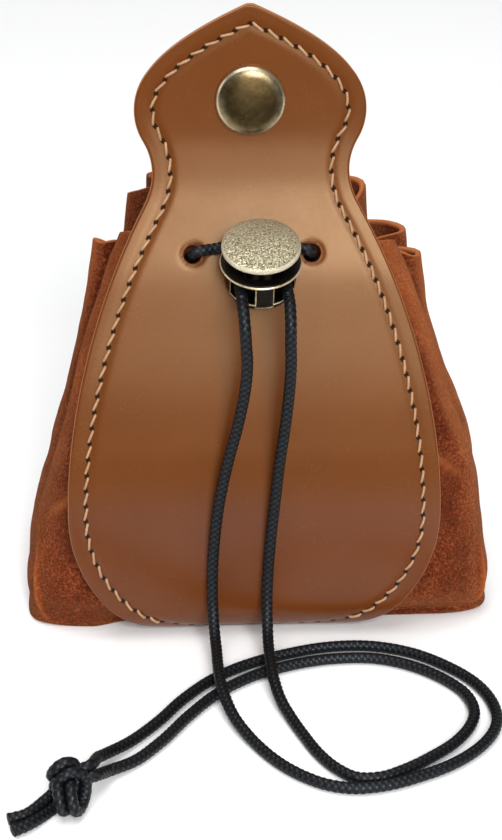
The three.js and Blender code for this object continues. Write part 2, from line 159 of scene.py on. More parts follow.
def add_mesh(name, points_mm, faces, material=None):
    """A smooth-shaded mesh object from points in millimetres."""
    mesh = bpy.data.meshes.new(name)
    mesh.from_pydata((np.asarray(points_mm, float) * MM).tolist(), [], faces)
    mesh.shade_smooth()
    made = bpy.data.objects.new(name, mesh)
    scene.collection.objects.link(made)
    if material:
        mesh.materials.append(material)
    return made


floor_paint, tree, shader = new_material("floor_paint", Roughness=0.75)
floor_tone = ramp(
    tree, noise_at(tree, FLOOR_SPECKS_PER_METRE), (0.0, FLOOR_PALE), (1.0, FLOOR_PALEST),
)
floor_y = add_node(tree, "ShaderNodeSeparateXYZ", {"Vector": place_on_piece(tree)}).outputs["Y"]
# Well in front of the bag the floor is painted dark: painted shade, as if the table fell off into shadow.
into_painted_shade = remap(tree, floor_y, FLOOR_DARK_Y * MM, FLOOR_PALE_Y * MM, 1.0, 0.0)
feed(tree, shader, Base_Color=blend(tree, into_painted_shade, floor_tone, FLOOR_PAINTED_SHADE))
floor = add_mesh(
    "floor",
    [(x * FLOOR_REACH, y * FLOOR_REACH, 0) for x, y in ((-1, -1), (1, -1), (1, 1), (-1, 1))],
    [(0, 1, 2, 3)],
    floor_paint,
)

for soft_box in SOFT_BOXES:
    light = bpy.data.lights.new(soft_box["name"], "AREA")
    light.energy = soft_box["watts"]
    light.shape = "RECTANGLE"
    light.size, light.size_y = (side * MM for side in soft_box["size"])
    lamp = bpy.data.objects.new(soft_box["name"], light)
    lamp.location = Vector(soft_box["at"]) * MM
    lamp.rotation_euler = look_along(Vector(soft_box["aim"]) - Vector(soft_box["at"]))
    scene.collection.objects.link(lamp)

scene.world = bpy.data.worlds.new("studio")
scene.world.use_nodes = True
room_light = scene.world.node_tree.nodes["Background"]
room_light.inputs["Color"].default_value = ROOM_COLOUR
room_light.inputs["Strength"].default_value = ROOM_STRENGTH
scene.view_settings.view_transform = "Standard"


# Pouch: rust-brown suede about 1.2 mm thick, boxed at the base and gathered into pleats at the
# mouth by the cord. The napped side is out, and the rim is a raw cut edge.
SUEDE_WALL = 1.2
RIM_ROUND = 0.2
POUCH_CENTRE_X = 1.5
MOUTH_HEIGHT = 73
LIFT_START = 38
DEEPEST_FOLD = 3.8
FOLD_CREST_WIDTH = 0.9
FOLD_CREST_BIAS = 0.4
COLUMNS_PER_FOLD = 16
COLUMNS_AT_CORNER = 60
CORNER_FOLDS = (10, 15)
BOXED_FOOT = 24.8
BOXED_SLOPE = 0.34
BOXED_SIDE, BOXED_FRONT, BOXED_TOP = (25, 33), (16, 22.6), (6, 9)
BOXED_SKEW, SKEWED_X = 2.2, (10, 33)
BOXED_NARROWING, NARROWED_X, NARROWED_TOP = 0.6, (25, 45), (12, 18)
SUEDE_LEAN, LEAN_RISE, LEAN_FALL = 0.8, (16, 28), (30, 44)
SECTION_KEYS = ("z", "half_width", "front", "back", "front_square", "back_square", "fold")
POUCH_SECTIONS = [dict(zip(SECTION_KEYS, row)) for row in (
    (0, 22, 11, 13, 5, 5, 0),
    (0, 43.2, 22.6, 26.5, 9, 6, 0),
    (2, 44.6, 23.4, 28.2, 9, 6, 0),
    (4.2, 45, 26, 29, 8, 6, 0),
    (8.5, 45, 27.7, 29.8, 7, 5.5, 0.2),
    (18, 42.7, 27.4, 29.6, 6, 5, 0.6),
    (30, 39.7, 25.7, 27.6, 5, 4, 1.2),
    (41, 35.2, 23.3, 25, 4, 3.3, 2),
    (51, 32, 19.8, 22.6, 3.5, 2.8, 2.7),
    (62, 29, 14.2, 20.6, 3.1, 2.4, 3.4),
    (73, 27, 9.7, 20, 3, 2.3, 3.8),
)]
FOLD_KEYS = ("bearing", "crest", "top", "valley", "dip", "cord")
POUCH_FOLDS = [dict(zip(FOLD_KEYS, row)) for row in (
    (-2, 1.2, 66.5, 1.1, 67.3, 60), (18, 1.1, 68, 1.05, 70, 61.5), (40, 1.0, 75, 0.95, 76, 68.5),
    (64, 0.9, 77, 0.95, 76.5, 70.5), (90, 1.0, 76, 0.95, 76.5, 69.5), (115, 0.9, 77, 0.9, 77, 70.5),
    (138, 1.0, 76.6, 0.8, 76, 69.5), (151, 0.3, 74.5, 1.6, 78, 68.5), (166, -0.8, 66, 1.2, 66, 63),
    (181, 0.95, 70.3, 0.5, 70.8, 64.5), (199, 0.8, 75.4, 0.5, 77, 66.5), (226, 0.5, 77, 0.5, 77.5, 70.5),
    (247, 0.5, 78, 0.5, 78, 71.5), (269, 0.5, 78, 0.5, 78, 71.5), (291, 0.5, 78, 0.5, 77.5, 71.5),
    (314, 0.5, 77, 0.8, 79.5, 70.5), (339, 1.25, 73.6, 1.15, 69, 60.5),
)]
ROWS_BETWEEN_SECTIONS = (3, 3, 3, 5, 10, 10, 9, 8, 8, 9)
DRAPE = {"stands": 0.75, "degrees": 9, "tall": 46, "shift": 3.1}
PUCKER = {"stands": 0.35, "wide": 7, "tall": 12, "shift": 8}
CRUMPLE = {"stands": 0.1, "wide": 2.6, "tall": 3.4}
SLACK_ABOVE, CRUMPLED_ABOVE = (3, 22), (1, 5)
PRESSED_FRONT, PRESSED_HALF, PRESSED_FADE, PRESSED_IN = (12, 20), 38, 6, 0.1
SUEDE_CREASES = (
    {"line": ((209.5, 1), (208.5, 8), (206.5, 14), (200, 24)), "stands": 0.9, "half_width": 0.55},
    {"line": ((331, 1), (331.5, 8), (333, 14), (337, 22)), "stands": 0.9, "half_width": 0.55},
    {"line": ((214, 29), (210, 25), (204, 21)), "stands": 0.8, "half_width": 0.9},
    {"line": ((325, 37), (328, 32), (334, 27)), "stands": 0.8, "half_width": 0.9},
)
CREASE_MM_PER_DEGREE = 0.85
CREASE_RISE, CREASE_FALL = (0, 0.2), (0.4, 1)
# Fold crests and crease ridges are painted lighter: partly worn nap, partly painted highlight.
FOLD_WEAR_AND_HIGHLIGHT, CREASE_WEAR_AND_HIGHLIGHT = 0.3, 0.6
FOLD_SHADE, INSIDE_SHADE = 0.7, 0.35
CUT_AT_RIM, CUT_INSIDE = 1, 0.7
MOTTLE_LOW, MOTTLE_HIGH = 0.32, 0.68


def smoothstep(value, low, high):
    """From 0 at low to 1 at high, with no kink at either."""
    share = np.clip((value - low) / (high - low), 0, 1)
    return share * share * (3 - 2 * share)


def fold_at(column):
    """The fold at a column counted in folds: its part, span, bearing, rise, rim height and cord height."""
    wrapped = column % len(POUCH_FOLDS)
    here = POUCH_FOLDS[int(wrapped)]
    after = POUCH_FOLDS[(int(wrapped) + 1) % len(POUCH_FOLDS)]
    part = wrapped - int(wrapped)
    crest = here if part < 0.5 else after
    up_to_crest = smoothstep(abs(2 * part - 1), 0, 1)
    middle, swing = (crest["crest"] - here["valley"]) / 2, (crest["crest"] + here["valley"]) / 2
    return {
        "part": part,
        "span": (after["bearing"] - here["bearing"]) % 360,
        "bearing": here["bearing"],
        "rise": middle + swing * math.cos(2 * math.pi * part),
        "top": here["dip"] + (crest["top"] - here["dip"]) * up_to_crest,
        "cord": here["cord"] + (after["cord"] - here["cord"]) * smoothstep(part, 0, 1),
    }


def outline_at(section, bearing):
    """A point of the pouch's level outline at a bearing, with the outward direction there."""
    cosine, sine = math.cos(math.radians(bearing)), math.sin(math.radians(bearing))
    reach = section["front"] if sine < 0 else section["back"]
    square = section["front_square"] if sine < 0 else section["back_square"]
    across, deep = abs(cosine) / section["half_width"], abs(sine) / reach
    radius = (across ** square + deep ** square) ** (-1 / square)
    outward = np.array((
        math.copysign(across ** (square - 1) / section["half_width"], cosine),
        math.copysign(deep ** (square - 1) / reach, sine),
    ))
    place = np.array((POUCH_CENTRE_X + radius * cosine, radius * sine))
    return place, outward / np.linalg.norm(outward)


def section_between(place):
    """The pouch's section at a fractional row, on a smooth curve through the table."""
    row = min(int(place), len(POUCH_SECTIONS) - 2)
    t = place - row
    weights = (
        (-t + 2 * t * t - t ** 3) / 2,
        (2 - 5 * t * t + 3 * t ** 3) / 2,
        (t + 4 * t * t - 3 * t ** 3) / 2,
        (-t * t + t ** 3) / 2,
    )
    rows = [POUCH_SECTIONS[min(max(row + k, 0), len(POUCH_SECTIONS) - 1)] for k in (-1, 0, 1, 2)]
    section = {key: sum(w * r[key] for w, r in zip(weights, rows)) for key in SECTION_KEYS}
    section["z"] = max(section["z"], 0)
    section["fold"] = max(section["fold"], 0)
    return section


def suede_point(section, column):
    """A point of the smooth outer face, at a section and at a column counted in folds."""
    fold = fold_at(column)
    part, z, front = fold["part"], section["z"], section["front"]
    broaden = FOLD_CREST_WIDTH * math.sin(4 * math.pi * part) / (4 * math.pi)
    broaden += FOLD_CREST_BIAS * math.sin(2 * math.pi * part) / (2 * math.pi)
    gather = section["fold"] / DEEPEST_FOLD
    place, outward = outline_at(section, fold["bearing"] + fold["span"] * (part + gather * broaden))
    x, y = place + section["fold"] * fold["rise"] * outward
    x -= BOXED_NARROWING * smoothstep(x, *NARROWED_X) * (1 - smoothstep(z, *NARROWED_TOP))
    x += SUEDE_LEAN * smoothstep(z, *LEAN_RISE) * (1 - smoothstep(z, *LEAN_FALL))
    if y < 0:
        boxed = smoothstep(abs(x - POUCH_CENTRE_X), *BOXED_SIDE) * smoothstep(front, *BOXED_FRONT)
        boxed *= 1 - smoothstep(z, *BOXED_TOP)
        foot = BOXED_FOOT - BOXED_SKEW * smoothstep(x, *SKEWED_X)
        y -= boxed * max(foot + BOXED_SLOPE * z - front, 0)
    lift = (fold["top"] - MOUTH_HEIGHT) * smoothstep(z, LIFT_START, MOUTH_HEIGHT)
    return x, y, z + lift


def grid_normals(grid):
    """Outward directions of a grid of points whose columns run round the piece."""
    across = np.roll(grid, -1, 1) - np.roll(grid, 1, 1)
    upwards = np.gradient(grid, axis=0)
    normals = np.cross(across, upwards)
    return normals / np.maximum(np.linalg.norm(normals, axis=2, keepdims=True), 1e-9)


def suede_wrinkle(point, bearing):
    """How far the slack suede stands in or out of its smooth form, in millimetres."""
    x, y, z = point
    drape = noise.noise(Vector((bearing / DRAPE["degrees"], z / DRAPE["tall"], DRAPE["shift"])))
    pucker = noise.noise(Vector((
        x / PUCKER["wide"], y / PUCKER["wide"], z / PUCKER["tall"] + PUCKER["shift"],
    )))
    crumple = noise.noise(Vector((x / CRUMPLE["wide"], y / CRUMPLE["wide"], z / CRUMPLE["tall"])))
    height = (drape * DRAPE["stands"] + pucker * PUCKER["stands"]) * smoothstep(z, *SLACK_ABOVE)
    height += crumple * CRUMPLE["stands"] * smoothstep(z, *CRUMPLED_ABOVE)
    pressed = smoothstep(-y, *PRESSED_FRONT) * smoothstep(PRESSED_HALF - abs(x), 0, PRESSED_FADE)
    return height - pressed * max(height, 0) - pressed * PRESSED_IN


def suede_creases(bearings, heights):
    """How sharply the suede is creased at bearings and heights, from 0 to 1, and how far it stands out."""
    sharp, stands = np.zeros(bearings.shape), np.zeros(bearings.shape)
    places = np.stack([bearings % 360 * CREASE_MM_PER_DEGREE, heights], -1)
    for crease in SUEDE_CREASES:
        line = np.array(crease["line"], float) * (CREASE_MM_PER_DEGREE, 1)
        for step, (start, end) in enumerate(zip(line, line[1:])):
            share = np.clip((places - start) @ (end - start) / ((end - start) @ (end - start)), 0, 1)
            away = np.linalg.norm(places - start - share[..., None] * (end - start), axis=-1)
            place = (step + share) / (len(line) - 1)
            fade = smoothstep(place, *CREASE_RISE) * (1 - smoothstep(place, *CREASE_FALL))
            ridge = fade * np.exp(-(away / crease["half_width"]) ** 2)
            sharp, stands = np.maximum(sharp, ridge), np.maximum(stands, ridge * crease["stands"])
    return sharp, stands


def ring_faces(rings, count, first_index=0):
    """Quads between rings of points that lie one after another."""
    return [
        tuple(first_index + row * count + c for row, c in (
            (r, c), (r, (c + 1) % count), (r + 1, (c + 1) % count), (r + 1, c),
        ))
        for r in range(rings - 1)
        for c in range(count)
    ]


places = [
    row + step / steps
    for row, steps in enumerate(ROWS_BETWEEN_SECTIONS)
    for step in range(steps)
] + [len(POUCH_SECTIONS) - 1]
columns = []
for fold_index in range(len(POUCH_FOLDS)):
    steps = COLUMNS_AT_CORNER if fold_index in CORNER_FOLDS else COLUMNS_PER_FOLD
    columns.extend(fold_index + step / steps for step in range(steps))
smooth_face = np.array([[suede_point(section_between(p), c) for c in columns] for p in places])
bearings = np.degrees(np.arctan2(smooth_face[..., 1], smooth_face[..., 0] - POUCH_CENTRE_X))
wrinkle = np.array([
    [suede_wrinkle(point, bearing) for point, bearing in zip(row, row_bearings)]
    for row, row_bearings in zip(smooth_face, bearings)
])
creased, crease_height = suede_creases(bearings, smooth_face[..., 2])
outer_face = smooth_face + grid_normals(smooth_face) * (wrinkle + crease_height)[..., None]
outer_face[..., 2] = np.maximum(outer_face[..., 2], 0)
inner_face = outer_face - grid_normals(outer_face) * SUEDE_WALL
rim_face = (outer_face[-1] + inner_face[-1]) / 2 + np.array((0, 0, RIM_ROUND))
count = len(columns)
rings = np.concatenate([outer_face, rim_face[None], inner_face[::-1]])
pouch_points = rings.reshape(-1, 3).tolist()
pouch_faces = ring_faces(len(rings), count)
for ring, turned_over in ((0, True), (len(rings) - 1, False)):
    centre = len(pouch_points)
    pouch_points.append(rings[ring].mean(0).tolist())
    for c in range(count):
        edge = (ring * count + c, ring * count + (c + 1) % count)
        pouch_faces.append((centre, *(edge[::-1] if turned_over else edge)))


def mottle_group():
    """Blotches with finer flecks in them, as a mask from 0 to 1."""
    group = bpy.data.node_groups.new("mottle", "ShaderNodeTree")
    for name in ("Blotches", "Flecks", "Fleck Share"):
        group.interface.new_socket(name, in_out="INPUT", socket_type="NodeSocketFloat")
    group.interface.new_socket("Mask", in_out="OUTPUT", socket_type="NodeSocketFloat")
    given = group.nodes.new("NodeGroupInput").outputs
    both = add_node(group, "ShaderNodeMix", {
        "Factor": given["Fleck Share"],
        "A": noise_at(group, given["Blotches"], 4),
        "B": noise_at(group, given["Flecks"], 3, 0.7),
    })
    spread = remap(group, both.outputs["Result"], MOTTLE_LOW, MOTTLE_HIGH, how="LINEAR")
    add_node(group, "NodeGroupOutput", {"Mask": spread})
    return group


MOTTLE = mottle_group()


def mottled(tree, blotches, flecks, fleck_share):
    """The mottle effect placed in a material, with its own sizes per metre."""
    placed = add_node(tree, "ShaderNodeGroup", {
        "Blotches": blotches, "Flecks": flecks, "Fleck Share": fleck_share,
    }, node_tree=MOTTLE)
    return placed.outputs["Mask"]


def add_attribute(piece, name, values):
    """A number for each point of a mesh, for its material to read."""
    attribute = piece.data.attributes.new(name, "FLOAT", "POINT")
    attribute.data.foreach_set("value", np.asarray(values, np.float32).ravel())


def read_attribute(tree, name):
    """A number that each point of the mesh carries."""
    return add_node(tree, "ShaderNodeAttribute", {}, attribute_name=name).outputs["Fac"]


def bump(tree, shader, height, distance_mm, strength=1.0):
    """Fine relief on a surface, from a height of 0 to 1."""
    made = add_node(tree, "ShaderNodeBump", {
        "Height": height, "Distance": distance_mm * MM, "Strength": strength,
    })
    feed(tree, shader, Normal=made.outputs["Normal"])


suede, tree, shader = new_material(
    "suede", Roughness=0.95, Sheen_Weight=0.3, Sheen_Roughness=0.4, Sheen_Tint=(1, 0.4, 0.15, 1),
    Specular_IOR_Level=0.05,
)
nap_tone = ramp(
    tree, mottled(tree, 130, 2000, 0.68),
    (0.0, (0.024, 0.003, 0.0017)), (0.5, (0.1, 0.0168, 0.0054)), (1.0, (0.29, 0.072, 0.0235)),
)
# Lighter on fold crests and crease ridges: partly worn nap, partly painted highlight.
crest_wear_and_highlight_tone = blend(tree, read_attribute(tree, "crest"), nap_tone, (0.4, 0.105, 0.028))
# Fold valleys and the whole inside are painted dark: painted shade.
painted_shade_tone = blend(tree, read_attribute(tree, "crease"), crest_wear_and_highlight_tone, (0.06, 0.01, 0.003))
cut_tone = blend(tree, read_attribute(tree, "cut"), painted_shade_tone, (0.4, 0.125, 0.04))
feed(tree, shader, Base_Color=cut_tone)
bump(tree, shader, noise_at(tree, 2300, 4, 0.75), 0.5, 0.9)

pouch = add_mesh("pouch_suede", pouch_points, pouch_faces, suede)
fold_wave = np.cos([2 * math.pi * fold_at(c)["part"] for c in columns])
fold_share = np.array([section_between(p)["fold"] / DEEPEST_FOLD for p in places])[:, None]
# Crests and crease ridges: worn nap and painted highlight together.
wear_and_highlight = np.maximum(FOLD_WEAR_AND_HIGHLIGHT * fold_share * np.maximum(fold_wave, 0) ** 3, CREASE_WEAR_AND_HIGHLIGHT * creased)
# Painted shade in the fold valleys and over the inside of the pouch.
painted_fold_shade = FOLD_SHADE * fold_share * np.maximum(-fold_wave, 0) ** 2
painted_inside_shade = np.full_like(painted_fold_shade, INSIDE_SHADE)
cut = np.zeros((len(rings), count))
cut[len(outer_face)] = CUT_AT_RIM
cut[len(outer_face) + 1] = CUT_INSIDE
for name, shares in (
    ("crest", np.concatenate([wear_and_highlight, wear_and_highlight[-1:], 0 * wear_and_highlight])),
    ("crease", np.concatenate([painted_fold_shade, painted_fold_shade[-1:], painted_inside_shade])),
    ("cut", cut),
):
    add_attribute(pouch, name, np.append(shares.ravel(), (0, 0)))
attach(pouch, "bag")
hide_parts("pouch")


# Front panel: smooth tan leather 2 mm thick, cut to a keyhole shape with raw edges. It is sewn to
# the pouch all round, bends under it at the floor and stands up above the mouth.
LEATHER = 2.0
PANEL_START_Y = -23
PANEL_FOOT = 1.6
PANEL_BELLY_HALF = 34.6
PANEL_CORNER_RADIUS = 28.6
PANEL_BENDS = ((11.8, -90), (27, -8), (25, -15), (25, 6), (13, 8), (24, 3))
PANEL_CURVES = (
    ((34.6, 52.2), (27.1, 74.4), (19.5, 88.4)),
    ((17.3, 92.5), (17.3, 96.5), (19.5, 100.2)),
    ((21.5, 103.8), (21.5, 108.7), (18.2, 112.7)),
    ((15, 117), (8.6, 120.9), (0.6, 124.5)),
)
CURVE_STEPS = 90
EDGE_SPACING = 0.25
ROW_SPACING = 0.62
PANEL_SWELL = 1.9
SWELL_PLACES = (44, 74, 98)
LOBE_LEAN = 0.085
LOBE_START = 98
LOBE_EASE = 6
CORD_HOLE_X = 10.8
CORD_HOLE_AT = 79.6
CORD_HOLE_RADIUS = 1.7
HOLE_DISH, HOLE_DISH_WIDTH, HOLE_DISH_BEHIND = 0.2, 0.5, 0.5
EDGE_ROUND = 0.4
EDGE_STEPS = np.array((0, 0.05, 0.14, 0.28, 0.46, 0.7, 1.1))
EDGE_STEPS_FIT = 8
INNER_STEPS = 50
SEAM_INSET = 3.3
SEAM_SINK, SEAM_SINK_WIDTH = 0.14, 0.8
STITCH_PITCH = 3.05
POINTS_NEAR_TOP = 60
SEARCH_CHUNKS = 60
AWL_HOLE_INNER, AWL_HOLE_OUTER, AWL_HOLE_LENGTHENED = 0.36, 0.48, 0.7
RAW_RIM = (0.02, 0.2)
PUNCHED_RIM, PUNCHED_SHARE = (CORD_HOLE_RADIUS + 0.1, CORD_HOLE_RADIUS + 0.5), 0.3
BACK_RIM, BACK_MIDDLE = 1, 50
TINT_CHANGE = (28.0, 40.0)


def panel_face(along):
    """The outer face after a length along the panel: its y and z, and its heading."""
    y, z, heading, left = PANEL_START_Y, 0.0, math.pi, along
    for length, turn in PANEL_BENDS:
        step = min(left, length)
        half_bend = math.radians(turn) * step / length / 2
        chord = step * (math.sin(half_bend) / half_bend if half_bend else 1)
        y += chord * math.cos(heading + half_bend)
        z += chord * math.sin(heading + half_bend)
        heading += 2 * half_bend
        left -= step
    return y, z, heading


def panel_inward(along):
    """The direction from the panel's outer face into the leather."""
    heading = panel_face(along)[2]
    return np.array((0, math.sin(heading), -math.cos(heading)))


def panel_point(x, along, depth):
    """A point in the leather: across the panel, along it, and in from its outer face."""
    y, z, heading = panel_face(along)
    low, middle, high = SWELL_PLACES
    forward = PANEL_SWELL * smoothstep(along, low, middle) * (1 - smoothstep(along, middle, high))
    up_lobe = max(along - LOBE_START, 0)
    forward += LOBE_LEAN * up_lobe ** 2 / (up_lobe + LOBE_EASE)
    return np.array((x, y, z)) + (depth - forward) * panel_inward(along)


def bezier(start, leave, arrive, end, steps):
    """Points of a curve after its start, which leaves and arrives towards two handles."""
    t = np.linspace(0, 1, steps + 1)[1:, None]
    corners = [np.array(corner, float) for corner in (start, leave, arrive, end)]
    weights = ((1 - t) ** 3, 3 * t * (1 - t) ** 2, 3 * t * t * (1 - t), t ** 3)
    return sum(w * c for w, c in zip(weights, corners))


def travel(points):
    """How far along a line of points each of them lies."""
    return np.append(0, np.cumsum(np.linalg.norm(np.diff(points, axis=0), axis=1)))


def evenly(points, spacing):
    """Points set at an even spacing along a line of points."""
    travelled = travel(points)
    stops = np.linspace(0, travelled[-1], max(int(round(travelled[-1] / spacing)), 1) + 1)
    return np.stack([np.interp(stops, travelled, axis_values) for axis_values in points.T], 1)


corner_x = PANEL_BELLY_HALF - PANEL_CORNER_RADIUS
belly_at = PANEL_FOOT + PANEL_CORNER_RADIUS
corner_turn = np.linspace(-math.pi / 2, 0, CURVE_STEPS)
panel_edge = np.stack([
    corner_x + PANEL_CORNER_RADIUS * np.cos(corner_turn),
    belly_at + PANEL_CORNER_RADIUS * np.sin(corner_turn),
], 1)
for leave, arrive, end in PANEL_CURVES:
    panel_edge = np.concatenate([panel_edge, bezier(panel_edge[-1], leave, arrive, end, CURVE_STEPS)])
panel_edge = evenly(panel_edge, EDGE_SPACING)
edge_heading = np.gradient(panel_edge, axis=0)
edge_heading /= np.linalg.norm(edge_heading, axis=1, keepdims=True)
edge_inward = np.stack([-edge_heading[:, 1], edge_heading[:, 0]], 1)
seam_line = panel_edge + SEAM_INSET * edge_inward
seam_travel = travel(seam_line)
seam_length = np.interp(0, -seam_line[-POINTS_NEAR_TOP:, 0], seam_travel[-POINTS_NEAR_TOP:])
stitch_count = int(round(seam_length / STITCH_PITCH))
seam_place = seam_travel * stitch_count / seam_length

panel_rows = evenly(panel_edge, ROW_SPACING)
full_rows = []
for half, along in panel_rows:
    fit = min(1, half / EDGE_STEPS_FIT)
    inner = np.linspace(EDGE_STEPS[-1] * fit, half, INNER_STEPS + 1)[1:]
    from_side = np.concatenate([EDGE_STEPS * fit, inner])
    full_rows.append(np.concatenate([from_side - half, (half - from_side)[-2::-1]]))
panel_x = np.array(full_rows)
panel_along = np.repeat(panel_rows[:, 1][:, None], panel_x.shape[1], 1)
flat_points = np.stack([np.abs(panel_x).ravel(), panel_along.ravel()], 1)
nearest = np.concatenate([
    np.linalg.norm(chunk[:, None] - panel_edge[None], axis=2).argmin(1)
    for chunk in np.array_split(flat_points, SEARCH_CHUNKS)
])
from_edge = np.abs(((flat_points - panel_edge[nearest]) * edge_inward[nearest]).sum(1))
from_edge = from_edge.reshape(panel_x.shape)
from_edge[0] = 0
from_edge[-1] = 0
seam_at = seam_place[nearest].reshape(panel_x.shape)
hole_offset = np.stack([np.abs(panel_x) - CORD_HOLE_X, panel_along - CORD_HOLE_AT], 2)
hole_near = np.linalg.norm(hole_offset, axis=2)
in_hole = hole_near < CORD_HOLE_RADIUS
outwards = CORD_HOLE_RADIUS / np.maximum(hole_near, 1e-6) - 1
onto_rim = hole_offset * outwards[..., None] * in_hole[..., None]
panel_x = panel_x + onto_rim[..., 0] * np.sign(panel_x)
panel_along = panel_along + onto_rim[..., 1]

into_round = np.maximum(EDGE_ROUND - from_edge, 0)
rounded = EDGE_ROUND - np.sqrt(np.maximum(EDGE_ROUND ** 2 - into_round ** 2, 0))
past_rim = np.maximum(hole_near, CORD_HOLE_RADIUS) - CORD_HOLE_RADIUS
hole_dish = HOLE_DISH * np.exp(-(past_rim / HOLE_DISH_WIDTH) ** 2)
seam_sink = SEAM_SINK * np.exp(-((from_edge - SEAM_INSET) / SEAM_SINK_WIDTH) ** 2)
front_depth = rounded + hole_dish + seam_sink
back_depth = LEATHER - rounded - HOLE_DISH_BEHIND * hole_dish
panel_points = [
    panel_point(x, along, depth)
    for depths in (front_depth, back_depth)
    for x, along, depth in zip(panel_x.ravel(), panel_along.ravel(), depths.ravel())
]
row_count, column_count = panel_x.shape
side_size = row_count * column_count
panel_faces = []
open_edges = {}
for r in range(row_count - 1):
    for c in range(column_count - 1):
        corners = (
            r * column_count + c, r * column_count + c + 1,
            (r + 1) * column_count + c + 1, (r + 1) * column_count + c,
        )
        if all(in_hole.flat[i] for i in corners):
            continue
        panel_faces.append(corners)
        panel_faces.append(tuple(side_size + i for i in corners[::-1]))
        for a, b in zip(corners, corners[1:] + corners[:1]):
            if (b, a) in open_edges:
                del open_edges[(b, a)]
            else:
                open_edges[(a, b)] = True
for a, b in open_edges:
    panel_faces.append((b, a, side_size + a, side_size + b))


def calculate(tree, operation, first, second):
    """One step of arithmetic on two values or sockets."""
    return add_node(tree, "ShaderNodeMath", {0: first, 1: second}, operation=operation).outputs[0]


def uneven_polish(tree, blotches, flecks, smoothest, roughest):
    """A roughness that changes in blotches and flecks."""
    return remap(tree, mottled(tree, blotches, flecks, 0.5), 0.0, 1.0, smoothest, roughest, "LINEAR")


tan_leather, tree, shader = new_material("tan_leather", Specular_IOR_Level=0.3)
# The specular tint is cool at the panel's foot and warm above it: painted reflection colour, standing in for
# lamps of different colours.
warm_reflection_share = remap(tree, read_attribute(tree, "along"), *TINT_CHANGE)
painted_reflection_tint = blend(tree, warm_reflection_share, (0.8, 0.95, 1), (1, 0.73, 0.43))
hide_tone = ramp(
    tree, mottled(tree, 22, 260, 0.12),
    (0.0, (0.094, 0.0233, 0.0032)), (0.5, (0.1045, 0.0262, 0.0038)), (1.0, (0.118, 0.0303, 0.0049)),
)
edge_distance = read_attribute(tree, "from_edge")
pitches_from_hole = calculate(tree, "PINGPONG", read_attribute(tree, "seam_at"), 0.5)
hole_place = add_node(tree, "ShaderNodeCombineXYZ", {
    "X": calculate(tree, "MULTIPLY", pitches_from_hole, STITCH_PITCH * AWL_HOLE_LENGTHENED),
    "Y": calculate(tree, "SUBTRACT", edge_distance, SEAM_INSET),
})
hole_reach = add_node(tree, "ShaderNodeVectorMath", {0: hole_place.outputs[0]}, operation="LENGTH")
awl_hole = remap(tree, hole_reach.outputs["Value"], AWL_HOLE_INNER, AWL_HOLE_OUTER, 1.0, 0.0)
raw_rim = remap(tree, edge_distance, *RAW_RIM, 1.0, 0.0)
punched_rim = remap(tree, read_attribute(tree, "hole_near"), *PUNCHED_RIM, PUNCHED_SHARE, 0.0)
rim_mask = calculate(tree, "MAXIMUM", raw_rim, punched_rim)
edge_tone = blend(tree, rim_mask, hide_tone, (0.33, 0.145, 0.068))
# The awl holes are painted near-black: painted shade in holes that the mesh only dents.
hole_painted_shade_tone = blend(tree, awl_hole, edge_tone, (0.012, 0.003, 0.001))
edge_rough = add_node(tree, "ShaderNodeMix", {
    "Factor": calculate(tree, "MAXIMUM", rim_mask, awl_hole),
    "A": uneven_polish(tree, 160, 1600, 0.22, 0.29),
    "B": 0.9,
})
feed(
    tree, shader, Base_Color=hole_painted_shade_tone, Specular_Tint=painted_reflection_tint, Roughness=edge_rough.outputs["Result"],
)
pores = add_node(
    tree, "ShaderNodeTexVoronoi", {"Vector": place_on_piece(tree), "Scale": 2600}, feature="DISTANCE_TO_EDGE",
)
pore_depth = remap(tree, pores.outputs["Distance"], 0.0, 0.25, 0.0, 0.12, "LINEAR")
bump(tree, shader, calculate(tree, "SUBTRACT", pore_depth, awl_hole), 0.2, 0.12)

panel = add_mesh("panel_leather", panel_points, panel_faces, tan_leather)
# Behind, only the rim keeps its distance from the edge, so that no awl holes show there.
back_from_edge = np.where(from_edge < BACK_RIM, from_edge, BACK_MIDDLE)
for name, front_values, back_values in (
    ("from_edge", from_edge, back_from_edge), ("seam_at", seam_at, seam_at),
    ("hole_near", hole_near, hole_near), ("along", panel_along, panel_along),
):
    add_attribute(panel, name, np.concatenate([front_values.ravel(), back_values.ravel()]))
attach(panel, "bag")
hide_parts("front_panel")


# Seam: light waxed thread, saddle stitched through awl holes a few millimetres in from the panel's
# edge. Each stitch is a short slanted bar that dives into a hole at either end.
THREAD_RADIUS = 0.25
THREAD_SIDES = 8
THREAD_PLY = 0.12
THREAD_TWIST = 14
SEAM_START = 6.6
STITCH_SLANT = 0.8
STITCH_RINGS = (
    (0.12, 0.5), (0.155, 0.2), (0.21, -0.03), (0.31, -0.14), (0.5, -0.17),
    (0.69, -0.14), (0.79, -0.03), (0.845, 0.2), (0.88, 0.5),
)
SLANTING_AXIS = (0.31, 0.17, 0.93)


def frames_along(path):
    """Two directions across a path at each of its points, carried along it without twisting."""
    tangents = np.gradient(path, axis=0)
    tangents /= np.linalg.norm(tangents, axis=1, keepdims=True)
    side = np.cross(tangents[0], SLANTING_AXIS)
    sides = []
    for tangent in tangents:
        side = side - tangent * side.dot(tangent)
        side = side / np.linalg.norm(side)
        sides.append(side)
    sides = np.array(sides)
    return sides, np.cross(tangents, sides)


def tube(path, radii, first_index):
    """Points and faces of a closed tube; radii has one row of radii for each point of the path."""
    path = np.asarray(path, float)
    sides, ups = frames_along(path)
    rows, count = radii.shape
    turns = np.linspace(0, 2 * math.pi, count, endpoint=False)[None, :, None]
    ring = sides[:, None] * np.cos(turns) + ups[:, None] * np.sin(turns)
    points = (path[:, None] + ring * radii[..., None]).reshape(-1, 3)
    faces = ring_faces(rows, count, first_index)
    faces.append(tuple(first_index + c for c in range(count - 1, -1, -1)))
    faces.append(tuple(first_index + (rows - 1) * count + c for c in range(count)))
    return points, faces


